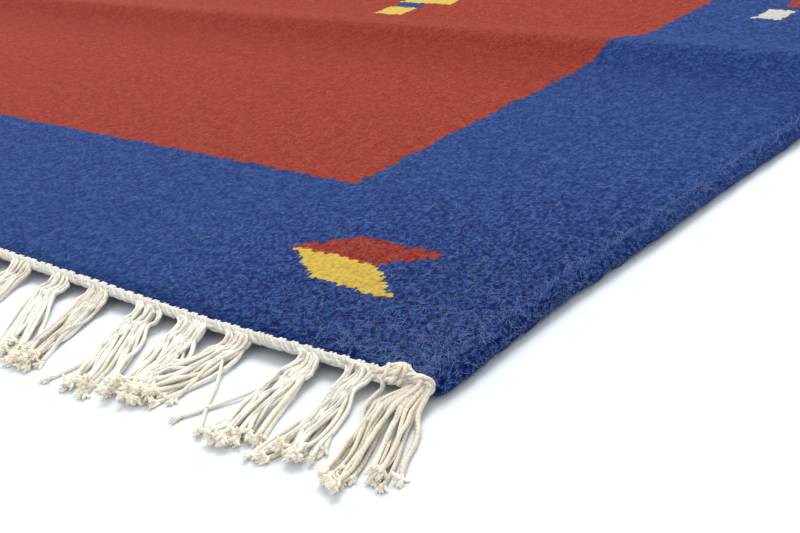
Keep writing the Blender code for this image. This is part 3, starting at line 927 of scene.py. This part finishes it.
def laid_together(middle, yarns, offset, turn_length):
    """Yarns that wind slowly round one way together, as many routes."""
    if yarns == 1:
        return middle[None]
    steps = np.linalg.norm(np.diff(middle, axis=0), axis=1)
    run = np.concatenate([[0], np.cumsum(steps)])
    routes = []
    for yarn in range(yarns):
        angle = math.tau * (run / turn_length + yarn / yarns)
        routes.append(middle + offset * np.stack([0 * angle, np.cos(angle), np.sin(angle)], axis=1))
    return np.array(routes)


def frayed_tips(routes, strands, lengths, spread, rings, lowest, chance):
    """What comes untwisted at each yarn's tip and bursts forward and sideways from it."""
    tips = np.repeat(routes[:, -1], strands, axis=0)
    heading = np.repeat(routes[:, -1] - routes[:, -4], strands, axis=0)
    heading /= np.linalg.norm(heading, axis=1, keepdims=True)
    length = chance.uniform(*lengths, len(tips)) * MM
    roots = tips - FRAYED_LENGTH * heading + chance.normal(0, 0.1, tips.shape) * MM
    heading = heading + chance.normal(0, spread, tips.shape)
    return fibre_routes(roots, heading, length, rings, FRAY_TURNING, lowest, chance)


def cotton_piece(name, material, routes, radii, sides, tones, lengths):
    """Cotton tubes along routes, marked for the twist and tone of their material."""
    rings = routes.shape[1]
    made = along_routes(tube_prototype(sides, rings), routes, radii)
    mark_yarns(*made, rings, lengths, tones)
    return add_piece(name, made[0], material)


def frayed_piece(name, routes, radii, sides):
    made = along_routes(tube_prototype(sides, routes.shape[1]), routes, radii)
    return add_piece(name, made[0], frayed_cotton)


def build_end(end, seed):
    """The knotted row, the cord, the bunches with their frayed tips, and the closing knot of one end."""
    chance = np.random.default_rng(seed)
    knot_routes, knot_lengths = smooth_routes(at_end(knot_stops(chance), end), KNOT_RINGS)
    knots = cotton_piece(f"row_knots_{end}", row_cotton, knot_routes,
                         np.full(knot_routes.shape[:2], YARN_RADIUS), YARN_SIDES,
                         chance.normal(0.15, 0.15, len(knot_routes)), knot_lengths)
    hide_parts(f"fringe_{end}")

    cord_x = np.linspace(-WIDTH / 2 + 2.5 * MM, WIDTH / 2 - 9 * MM, CORD_RINGS)
    level = np.ones_like(cord_x)
    wander = 0.15 * MM * np.sin(cord_x / (5.3 * MM)) + 0.1 * MM * np.sin(cord_x / (2.9 * MM))
    middle = np.stack([cord_x, CORD_OUT + wander, CORD_HEIGHT * level], axis=1)
    cord_routes = list(laid_together(middle, CORD_YARNS, CORD_OFFSET, CORD_TURN))
    for out, height in EDGE_YARNS:
        cord_routes.append(np.stack([cord_x, out * MM * level, height * MM * level], axis=1))
    cord_routes = at_end(np.array(cord_routes), end)
    count = len(cord_routes)
    cord_radii = YARN_RADIUS * chance.normal(1, YARN_UNEVENNESS, cord_routes.shape[:2])
    cord = cotton_piece(f"row_cord_{end}", row_cotton, cord_routes, cord_radii, CORD_SIDES,
                        chance.normal(0.15, 0.1, count), np.full(count, WIDTH))

    stops, tones = bunch_stops(end, bunches_of(end, chance), chance)
    routes, lengths = smooth_routes(at_end(stops, end), YARN_RINGS)
    count = len(routes)
    radii = YARN_RADIUS * chance.normal(1, 0.1, (count, 1))
    radii = radii * chance.normal(1, YARN_UNEVENNESS, (count, YARN_RINGS))
    yarns = cotton_piece(f"fringe_yarns_{end}", cotton, routes, radii, YARN_SIDES, tones, lengths)

    fine = np.arange(count) < (FINE_YARNS if end == "front" else 0)
    locks = frayed_tips(routes, np.where(fine, LOCKS, FEW_LOCKS), LOCK_LENGTHS, LOCK_SPREAD,
                        len(LOCK_RADII), LOCK_LOWEST, chance)
    lock_radii = np.array(LOCK_RADII) * MM * chance.normal(1, 0.15, (len(locks), 1))
    tips = frayed_piece(f"fringe_tips_{end}", locks, lock_radii, LOCK_SIDES)
    hairs = frayed_tips(routes, np.where(fine, HAIRS, FEW_HAIRS), HAIR_LENGTHS, HAIR_SPREAD,
                        len(HAIR_RADII), 0, chance)
    hair_radii = np.full(hairs.shape[:2], FIBRE_RADIUS) * HAIR_RADII
    lint_tips = frayed_piece(f"fringe_lint_{end}", hairs, hair_radii, HAIR_SIDES)

    turns, turn_lengths = [], []
    for together, places in CLOSING_KNOT:
        stops = np.array([places]) * MM + (WIDTH / 2, 0, 0)
        middle, length = smooth_routes(stops, CLOSING_RINGS)
        turns.append(laid_together(middle[0], together, LAID_OFFSETS[together - 1] * MM, LAID_TURN))
        turn_lengths += together * list(length)
    turns = at_end(np.concatenate(turns), end)
    thick = YARN_RADIUS * chance.normal(1, YARN_UNEVENNESS, turns.shape[:2])
    knot = cotton_piece(f"closing_knot_{end}", cotton, turns, thick, CLOSING_SIDES,
                        chance.normal(0.6, 0.15, len(turns)), np.array(turn_lengths))
    return [knots, cord, yarns, tips, lint_tips, knot]


cotton_ends = build_end("front", 5) + build_end("back", 17)


# -------------------- the floor and light
# A plain pale floor, large soft lights overhead and low at the left, and an even white surround.

FLOOR_SIZE = 30
FLOOR_FINISH = {"Base Color": linear("#DCE3E8"), "Roughness": 0.9, "Specular IOR Level": 0.1}
SURROUND_STRENGTH = 0.95
LIT_PLACE = (0.1, -0.25, 0)     # on the rug, where both lights point

bpy.ops.mesh.primitive_plane_add(size=FLOOR_SIZE)
floor = bpy.context.object
floor.name = "floor"
floor.data.materials.append(new_material("Plain pale floor", FLOOR_FINISH)[0])

world = bpy.data.worlds.new("white surround")
world.use_nodes = True
world.node_tree.nodes["Background"].inputs["Color"].default_value = (1, 1, 1, 1)
world.node_tree.nodes["Background"].inputs["Strength"].default_value = SURROUND_STRENGTH
bpy.context.scene.world = world


def add_light(name, place, size, power):
    data = bpy.data.lights.new(name, "AREA")
    data.shape = "DISK"
    data.size = size
    data.energy = power
    lamp = bpy.data.objects.new(name, data)
    lamp.location = place
    lamp.rotation_euler = (Vector(LIT_PLACE) - Vector(place)).to_track_quat("-Z", "Y").to_euler()
    bpy.context.scene.collection.objects.link(lamp)


add_light("overhead softbox", (-0.35, 0.55, 1.7), 1.1, 30)
add_light("side softbox", (-1.6, 0.5, 0.85), 1.4, 9)

# The camera is close to one corner of the rug, as in the photograph
CAMERA_FROM_CORNER = (125.0 * MM, -127.3 * MM, 103.6 * MM)
CAMERA_AZIMUTH = math.radians(45.5)
CAMERA_DOWN = math.radians(24.3)
CAMERA_ROLL = math.radians(-8.72)
CAMERA_LENS = 53.85             # mm
CAMERA_SENSOR = 36              # mm
corner = Vector((WIDTH / 2, -WOVEN_LENGTH / 2, CLOTH_THICK))
camera_data = bpy.data.cameras.new("camera")
camera_data.lens = CAMERA_LENS
camera_data.sensor_width = CAMERA_SENSOR
camera_data.clip_start = 0.01
camera = bpy.data.objects.new("camera", camera_data)
camera.location = corner + Vector(CAMERA_FROM_CORNER)
aim = Euler((math.pi / 2 - CAMERA_DOWN, 0, CAMERA_AZIMUTH), "XYZ").to_matrix()
roll = Euler((0, 0, CAMERA_ROLL), "XYZ").to_matrix()
camera.rotation_euler = (aim @ roll).to_euler()
bpy.context.scene.collection.objects.link(camera)
bpy.context.scene.camera = camera
bpy.context.scene.view_settings.view_transform = "Standard"
